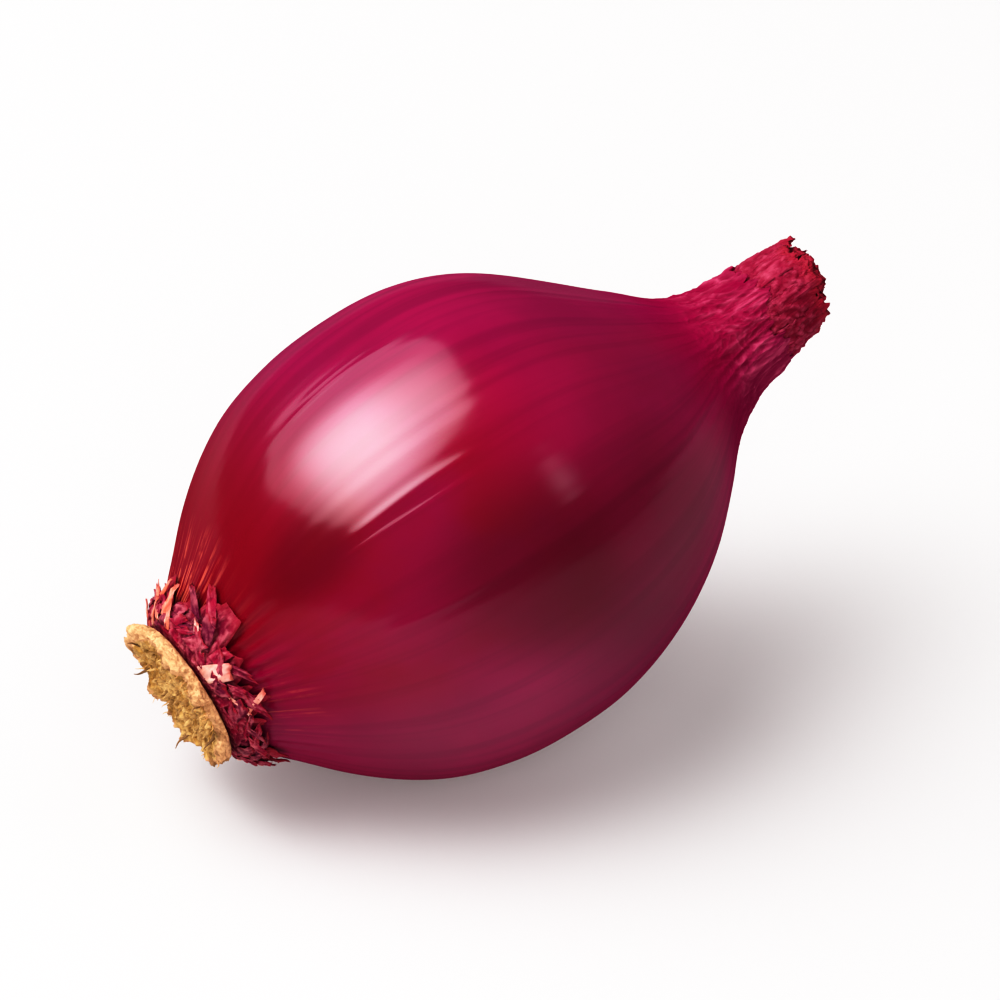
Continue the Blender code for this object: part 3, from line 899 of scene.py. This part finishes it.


# %% [markdown]
# ## The finish of the skin
#
# Red onion skin is a thin clear film over crimson cells. The film is the coat, and gives all the gloss:
# the cells beneath are matt. One material covers the whole skin, because a seam between a glossy and a
# dry one would show; masks from the station, the side and the folds say what is where.
#
# A row of DARK_SPOTS is a soft dark patch: its angle in degrees, its station, how far it reaches, and its
# strength, which is full out to FULL_SHARE of the reach. The first three are painted shade on the near
# side of the belly, below the highlight; the last two are darker patches on the far side.

# %% The colours of the skin and the masks that place them
CRIMSON = (0.275, 0.006, 0.080)
WINE = (0.175, 0.003, 0.056)
SCARLET = (0.185, 0.002, 0.012)
RUBY = (0.235, 0.002, 0.028)
DEEP_RED = (0.085, 0.0005, 0.010)
FLOOR_REFLECTION_PINK = (0.34, 0.06, 0.13)
GLOW_ORANGE_PINK = (0.58, 0.13, 0.09)
NECK_RED = (0.235, 0.005, 0.055)
NECK_HIGHLIGHT_PINK = (0.48, 0.100, 0.185)
NECK_SHADE_PURPLE = (0.15, 0.010, 0.065)
DARK_SPOTS = (
    (-31.0, -7.4, 3.0, 0.42),
    (-66.0, -0.2, 5.4, 0.5),
    (-82.0, 4.8, 7.5, 0.5),
    (95.0, 3.0, 6.0, 0.3),
    (150.0, -4.0, 5.0, 0.3),
)
FULL_SHARE = 0.3

skin_finish, tree, shader = new_finish("red_skin", Specular_IOR_Level=0.0, Coat_Roughness=0.15, Coat_IOR=1.8)
place = object_place(tree)
grown = held(tree, "flow", "Vector")
station = put(tree, "ShaderNodeSeparateXYZ", {0: grown}).outputs[2]
crumpled = held(tree, "raised")


def side(degrees, low, high, to_low, to_high):
    """A ramp over how squarely a place lies to this side: its flow dotted with the side's direction."""
    toward = (math.cos(math.radians(degrees)), math.sin(math.radians(degrees)), 0.0)
    squarely = put(tree, "ShaderNodeVectorMath", {0: grown, 1: toward}, operation="DOT_PRODUCT")
    return ramp(tree, squarely.outputs["Value"], low, high, to_low, to_high)


# %% [markdown]
# The colour is built up in layers. Each is one mix, whose share is a mask, so that one layer can change
# and the rest stay: veins and clouds darken the crimson, a ruby band runs along the near side with a pale
# painted reflection of the floor under it, the root end turns a darker scarlet, red in itself and darkened
# as painted shade, and patches of painted shade go over them.

# %% The belly's colour
veins = use(tree, streaks, 1.6, 0.42, 0.66, Flow=grown, Length=0.035)
fine_veins = use(tree, streaks, 6.0, 0.35, 0.7, Flow=grown, Length=0.03)
clouding = use(tree, mottle, 130.0, 0.35, 0.65, Place=place)
reddening = use(tree, mottle, 0.17, 0.3, 0.68, Place=grown)
body = mixed(tree, times(tree, veins, 0.55), CRIMSON, WINE)
body = mixed(tree, times(tree, clouding, 0.5), body, WINE)
ruby_band = times(tree, side(-48.0, 6.5, 9.8, 0.1, 0.9), ramp(tree, station, 5.0, -1.5, 0.3, 1.0))
ruby_band = times(tree, ruby_band, ramp(tree, reddening, 0.0, 1.0, 0.4, 1.0))
body = mixed(tree, ruby_band, body, RUBY)
# Painted reflection: a pale pink sheen of the white floor on the lower near side of the belly.
floor_reflection = times(tree, side(-118.0, 7.0, 10.0, 0.0, 0.28), ramp(tree, station, 4.0, -3.0, 0.2, 1.0))
body = mixed(tree, floor_reflection, body, FLOOR_REFLECTION_PINK)
# Painted shade with a real redder hue: the flank at the root end turns a darker scarlet.
near_root = times(tree, ramp(tree, station, -2.0, -9.0), side(40.0, -3.0, 6.0, 0.1, 0.85))
body = mixed(tree, near_root, body, SCARLET)
# Painted shade: the first three patches darken the near side below the highlight, the last two the far side.
for degrees, along, reach, strength in DARK_SPOTS:
    middle = tuple(wrapped(FLOW_RADIUS, math.radians(degrees), along))
    away = put(tree, "ShaderNodeVectorMath", {0: grown, 1: middle}, operation="DISTANCE").outputs["Value"]
    patch = ramp(tree, away, reach, FULL_SHARE * reach, 0.0, strength)
    body = mixed(tree, patch, body, DEEP_RED)

# %% [markdown]
# At the root the skin is nearly bare, and short orange streaks of painted glow, light shining through the
# thin skin, fan out from the plate, most at the top. The dry neck is redder, with painted shade in purple
# underneath and a painted highlight in pink where its folds stand up.

# %% The root fan, the neck's colour and the gloss
# Painted glow: orange streaks where light shines through the thin skin at the root, most at the top.
fan = use(tree, streaks, 3.2, 0.5, 0.66, Flow=grown, Length=0.05)
broken = use(tree, mottle, 1.1, 0.4, 0.58, Place=grown)
fan = times(tree, fan, ramp(tree, broken, 0.0, 1.0, 0.15, 1.0))
fan = times(tree, fan, ramp(tree, station, -9.0, -10.9))
patches = plus(tree, side(22.0, 8.0, 9.8, 0.07, 1.0), side(-80.0, 9.4, 9.8, 0.0, 0.35))
body = mixed(tree, times(tree, fan, patches), body, GLOW_ORANGE_PINK)
dry = ramp(tree, station, 11.0, 14.2)
body = mixed(tree, dry, body, NECK_RED)
# Painted shade: purple on the underside of the dry neck.
body = mixed(tree, times(tree, side(-118.0, 3.0, 9.0, 0.0, 0.45), dry), body, NECK_SHADE_PURPLE)
# Painted highlight: pink on the raised folds of the dry neck, broken up by mottle.
pale = use(tree, mottle, 0.75, 0.42, 0.62, Place=grown)
pale = times(tree, ramp(tree, pale, 0.0, 1.0, 0.3, 1.0), ramp(tree, crumpled, 0.1, 0.9, 0.1, 0.75))
body = mixed(tree, times(tree, pale, dry), body, NECK_HIGHLIGHT_PINK)
tree.links.new(body, shader.inputs["Base Color"])
dull = ramp(tree, station, 10.0, 13.0, 0.28, 0.6)
dull = plus(tree, dull, times(tree, fine_veins, 0.06))
tree.links.new(dull, shader.inputs["Roughness"])
film = ramp(tree, station, 9.5, 12.8, 0.75, 0.03)
film = times(tree, film, ramp(tree, station, -11.0, -6.0, 0.45, 1.0))
facing = put(tree, "ShaderNodeLayerWeight", {"Blend": 0.5}).outputs["Facing"]
film = times(tree, film, ramp(tree, facing, 0.4, 0.95, 1.0, 0.15))
tree.links.new(film, shader.inputs["Coat Weight"])
bump(tree, shader, fine_veins, 0.1, 0.00003)
skin.data.materials.append(skin_finish)
print("the skin's finish has", len(tree.nodes), "nodes")

# %% [markdown]
# ## The finish of the dry leaf ends and the torn skin
#
# Dry leaf is matt and fibrous: the streaks group at a finer setting draws the fibres, and lifts them with
# bump. Torn skin has the same fibres. Each strip's own tone sets how dark it is, a painted highlight in a
# lighter colour lies on its folds, and its tip, where one thin layer is left, has a colour of its own. A
# photo of dry leaf would look as good, but it wouldn't follow the folds.

# %% Leaf and torn-skin materials
# The third colour of each set is the light one, used in random patches and as a painted highlight on folds.
LEAF_DARK = (0.20, 0.005, 0.035)
LEAF_RED = (0.275, 0.008, 0.054)
LEAF_PINK = (0.46, 0.080, 0.150)
LEAF_TIP = (0.32, 0.020, 0.050)
TORN_DARK = ((0.13, 0.007, 0.038), (0.31, 0.010, 0.052), (0.56, 0.17, 0.20), (0.30, 0.020, 0.045))
TORN_PALE = ((0.64, 0.16, 0.10), (0.68, 0.36, 0.32), (0.76, 0.52, 0.45), (0.52, 0.12, 0.10))


def dry_finish(name, dark, middle, light, edge, fibre_size, patchy):
    """A matt fibrous finish: dark to middle by tone, edge at the torn tips, and light in random patches
    and as a painted highlight on the folds.
    """
    made, tree, shader = new_finish(name, Specular_IOR_Level=0.25)
    grown = held(tree, "flow", "Vector")
    place = object_place(tree)
    fibres = use(tree, streaks, fibre_size, 0.38, 0.62, Flow=grown, Length=0.12)
    patches = use(tree, mottle, 2400.0, 0.5, 0.64, Place=place)
    colour = mixed(tree, ramp(tree, held(tree, "tone"), 0.05, 0.75), dark, middle)
    # Painted highlight: the light colour on the tops of the folds.
    raised = times(tree, ramp(tree, held(tree, "raised"), 0.45, 0.95), 0.7)
    colour = mixed(tree, raised, colour, light)
    colour = mixed(tree, times(tree, patches, patchy), colour, light)
    colour = mixed(tree, times(tree, fibres, 0.4), colour, dark)
    colour = mixed(tree, ramp(tree, held(tree, "tip"), 0.7, 1.05), colour, edge)
    tree.links.new(colour, shader.inputs["Base Color"])
    tree.links.new(ramp(tree, fibres, 0.0, 1.0, 0.55, 0.8), shader.inputs["Roughness"])
    bump(tree, shader, fibres, 0.5, 0.00006)
    return made


leaf_finish = dry_finish("dry_leaf", LEAF_DARK, LEAF_RED, LEAF_PINK, LEAF_TIP, fibre_size=2.2, patchy=0.35)
dark_finish = dry_finish("torn_skin_dark", *TORN_DARK, fibre_size=1.6, patchy=0.5)
pale_finish = dry_finish("torn_skin_pale", *TORN_PALE, fibre_size=1.6, patchy=0.4)
for piece in leaf_pieces:
    piece.data.materials.append(leaf_finish)
for piece, finish in ((collar, dark_finish), (dark_scraps, dark_finish), (pale_scraps, pale_finish)):
    piece.data.materials.append(finish)

# %% [markdown]
# ## The finish of the root plate
#
# Dry cork is matt and warm. The rim keeps a paler, pinker skin, the pits are brown, and mottle at three
# scales stains it, because an even cork looks like clay. Its bump is only the finest of the three.

# %% Cork and root materials
CORK = (0.60, 0.35, 0.12)
CORK_PALE = (0.78, 0.52, 0.25)
CORK_BROWN = (0.16, 0.075, 0.020)
RIM_PEACH = (0.78, 0.44, 0.26)
FIBRE_PALE = (0.86, 0.52, 0.28)
HAIR_PALE = (0.34, 0.20, 0.10)
HAIR_DARK = (0.10, 0.06, 0.03)

cork_finish, tree, shader = new_finish("root_cork", Roughness=0.85, Specular_IOR_Level=0.25)
place = object_place(tree)
blotches = use(tree, mottle, 1400.0, 0.35, 0.65, Place=place)
stains = use(tree, mottle, 1900.0, 0.5, 0.66, Place=place)
specks = use(tree, mottle, 5200.0, 0.4, 0.62, Place=place)
colour = mixed(tree, blotches, CORK, CORK_PALE)
colour = mixed(tree, ramp(tree, held(tree, "face"), 0.7, 0.1, 0.0, 0.8), colour, RIM_PEACH)
colour = mixed(tree, times(tree, stains, 0.55), colour, CORK_BROWN)
colour = mixed(tree, ramp(tree, held(tree, "pit"), 0.3, 0.75), colour, CORK_BROWN)
colour = mixed(tree, times(tree, specks, 0.25), colour, CORK_BROWN)
tree.links.new(colour, shader.inputs["Base Color"])
bump(tree, shader, specks, 0.6, 0.00008)
plate.data.materials.append(cork_finish)


def root_finish(name, pale, dark, share):
    """Dry root: pale, darkened by the root's own tone times share, and by specks."""
    made, tree, shader = new_finish(name, Roughness=0.8, Specular_IOR_Level=0.25)
    place = object_place(tree)
    specks = use(tree, mottle, 3500.0, 0.35, 0.65, Place=place)
    colour = mixed(tree, times(tree, held(tree, "tone"), share), pale, dark)
    colour = mixed(tree, times(tree, specks, 0.35), colour, dark)
    tree.links.new(colour, shader.inputs["Base Color"])
    return made


stubs.data.materials.append(root_finish("root_stub", CORK_PALE, CORK_BROWN, 0.55))
fibres.data.materials.append(root_finish("root_fibre", FIBRE_PALE, CORK, 0.8))
hairs.data.materials.append(root_finish("root_hair", HAIR_PALE, HAIR_DARK, 0.9))

# %% [markdown]
# ## Every piece rides on the frame
#
# The row has one body, so each piece rides on it, and the imported node that it stands for is hidden.

# %% Ride and replace
for pieces, node, slot in (
    ([skin], "bulb", "red_skin"),
    (leaf_pieces, "dry_leaf_ends", "dry_leaf"),
    ([collar, dark_scraps, pale_scraps], "torn_skin", "torn_skin"),
    ([plate, stubs, fibres, hairs], "root_plate", "root_cork"),
):
    for piece in pieces:
        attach(piece, "root")
        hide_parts(node)
    print(len(pieces), "made here for the packed node", node)

# %% [markdown]
# ## Floor, light and camera
#
# The onion lies on plain white. A white floor throws a lot of light back up, and in a glossy belly it
# would show as a grey veil, so the floor's Light Path makes it darker for mirrored rays alone.

# %% The view's directions and the floor
CAMERA_AZIMUTH = math.radians(-32.7)
CAMERA_ELEVATION = math.radians(35.0)
CAMERA_ROLL = math.radians(1.6)
RIGHT = np.array([math.cos(CAMERA_AZIMUTH), math.sin(CAMERA_AZIMUTH), 0.0])
AWAY = np.array([-math.sin(CAMERA_AZIMUTH), math.cos(CAMERA_AZIMUTH), 0.0])
ABOVE = np.array([0.0, 0.0, 1.0])

FLOOR_SEEN = (0.45, 0.45, 0.45)
FLOOR_MIRRORED = (0.26, 0.26, 0.26)
FLOOR_TINT = (1.0, 0.90, 0.89, 1.0)
bpy.ops.mesh.primitive_plane_add(size=3.0, location=(0, 0, 0))
floor = bpy.context.object
floor.name = "floor"
floor_finish, tree, shader = new_finish("floor_white", Roughness=0.9, Emission_Color=FLOOR_TINT)
mirrored = put(tree, "ShaderNodeLightPath").outputs["Is Glossy Ray"]
tree.links.new(mixed(tree, mirrored, FLOOR_SEEN, FLOOR_MIRRORED), shader.inputs["Base Color"])
tree.links.new(ramp(tree, mirrored, 0.0, 1.0, 0.20, 0.16), shader.inputs["Emission Strength"])
floor.data.materials.append(floor_finish)

# %% [markdown]
# One big oval soft box hangs over the bulb, behind and to the left. Its place and its fading are read
# from the highlight, because a mirror-like belly shows where its light stands and how bright each part of
# it is. A faint card makes the small second highlight. Two broad lights, hidden from reflections, lift
# the lower side and the shoulder. A brighter world could do that too, but it would veil all the shine.
# A direction is given as (to the right, away from the camera, up).

# %% Lights
def soft_box(name, direction, distance, shape, power, roll=0.0):
    """An oval area light that hangs this far off in this direction and faces the belly.

    shape is its width and height as shares of the distance, and roll turns it in its own plane, in degrees.
    """
    pointing = Vector(direction[0] * RIGHT + direction[1] * AWAY + direction[2] * ABOVE).normalized()
    data = bpy.data.lights.new(name, "AREA")
    data.shape = "ELLIPSE"
    data.size = shape[0] * distance
    data.size_y = shape[1] * distance
    data.energy = power
    light = bpy.data.objects.new(name, data)
    bpy.context.scene.collection.objects.link(light)
    light.location = pointing * distance + Vector((0, 0, BELLY_HEIGHT * MM))
    facing = pointing.to_track_quat("Z", "Y").to_matrix().to_4x4()
    light.rotation_euler = (facing @ Matrix.Rotation(math.radians(roll), 4, "Z")).to_euler()
    return light


def fade(light, shape, core, reach, edge):
    """Bright at the core, given in shares of the width and height, and down to edge at reach from it."""
    light.data.use_nodes = True
    tree = light.data.node_tree
    on_box = put(tree, "ShaderNodeNewGeometry").outputs["Parametric"]
    off = put(tree, "ShaderNodeVectorMath", {0: on_box, 1: (*core, 0.0)}, operation="SUBTRACT").outputs[0]
    off = put(tree, "ShaderNodeVectorMath", {0: off, 1: (*shape, 0.0)}, operation="MULTIPLY").outputs[0]
    off = put(tree, "ShaderNodeVectorMath", {0: off}, operation="LENGTH").outputs["Value"]
    tree.links.new(ramp(tree, off, 0.0, reach, 1.0, edge), tree.nodes["Emission"].inputs["Strength"])


BOX_SHAPE = (1.84, 1.32)
box = soft_box("soft_box", (-0.566, 0.082, 0.820), distance=0.45, shape=BOX_SHAPE, power=10.9, roll=30.0)
fade(box, BOX_SHAPE, core=(0.62, 0.527), reach=0.72, edge=0.17)
CARD_SHAPE = (0.42, 0.30)
card = soft_box("card", (0.70, -0.40, 0.58), distance=0.5, shape=CARD_SHAPE, power=0.10, roll=25.0)
fade(card, CARD_SHAPE, core=(0.5, 0.5), reach=0.19, edge=0.0)
BROAD = (1.2, 1.2)
fill = soft_box("fill", (0.15, -0.88, 0.34), distance=0.6, shape=BROAD, power=2.3)
lift = soft_box("lift", (0.75, 0.30, 0.60), distance=0.6, shape=BROAD, power=1.2)
for light in (fill, lift):
    light.visible_glossy = False

WORLD_LIGHT = 0.2
world = bpy.data.worlds.new("studio")
world.use_nodes = True
world.node_tree.nodes["Background"].inputs["Color"].default_value = (1.0, 1.0, 1.0, 1.0)
world.node_tree.nodes["Background"].inputs["Strength"].default_value = WORLD_LIGHT
bpy.context.scene.world = world

# %% [markdown]
# Studio pictures have a firm contrast. The Standard view keeps the reds deep, and an S curve over it,
# level^c / (level^c + (1 - level)^c), gives the contrast.

# %% Tone curve
CONTRAST = 1.5
view = bpy.context.scene.view_settings
view.view_transform = "Standard"
view.use_curve_mapping = True
for level in np.linspace(0, 1, 21)[1:-1]:
    bright, dark = level**CONTRAST, (1 - level) ** CONTRAST
    view.curve_mapping.curves[3].points.new(level, bright / (bright + dark))
view.curve_mapping.update()

# %% [markdown]
# The camera looks down at 35 degrees through a long lens, so that near and far ends keep their true
# proportions, and it is rolled a little, because the photograph leans.

# %% Camera
LENS = 250
CAMERA_DISTANCE = 0.29
AIM = Vector((0.0026, 0.0, 0.0102))
camera_data = bpy.data.cameras.new("camera")
camera_data.lens = LENS
camera_data.sensor_width = 36
camera_data.clip_start = 0.01
camera = bpy.data.objects.new("camera", camera_data)
bpy.context.scene.collection.objects.link(camera)
back = Vector(-AWAY * math.cos(CAMERA_ELEVATION) + ABOVE * math.sin(CAMERA_ELEVATION))
camera.location = AIM + back * CAMERA_DISTANCE
level = back.to_track_quat("Z", "Y").to_matrix()
camera.rotation_euler = (level @ Matrix.Rotation(CAMERA_ROLL, 3, "Z")).to_euler()
bpy.context.scene.camera = camera
print("camera at", [round(v, 3) for v in camera.location], "m")
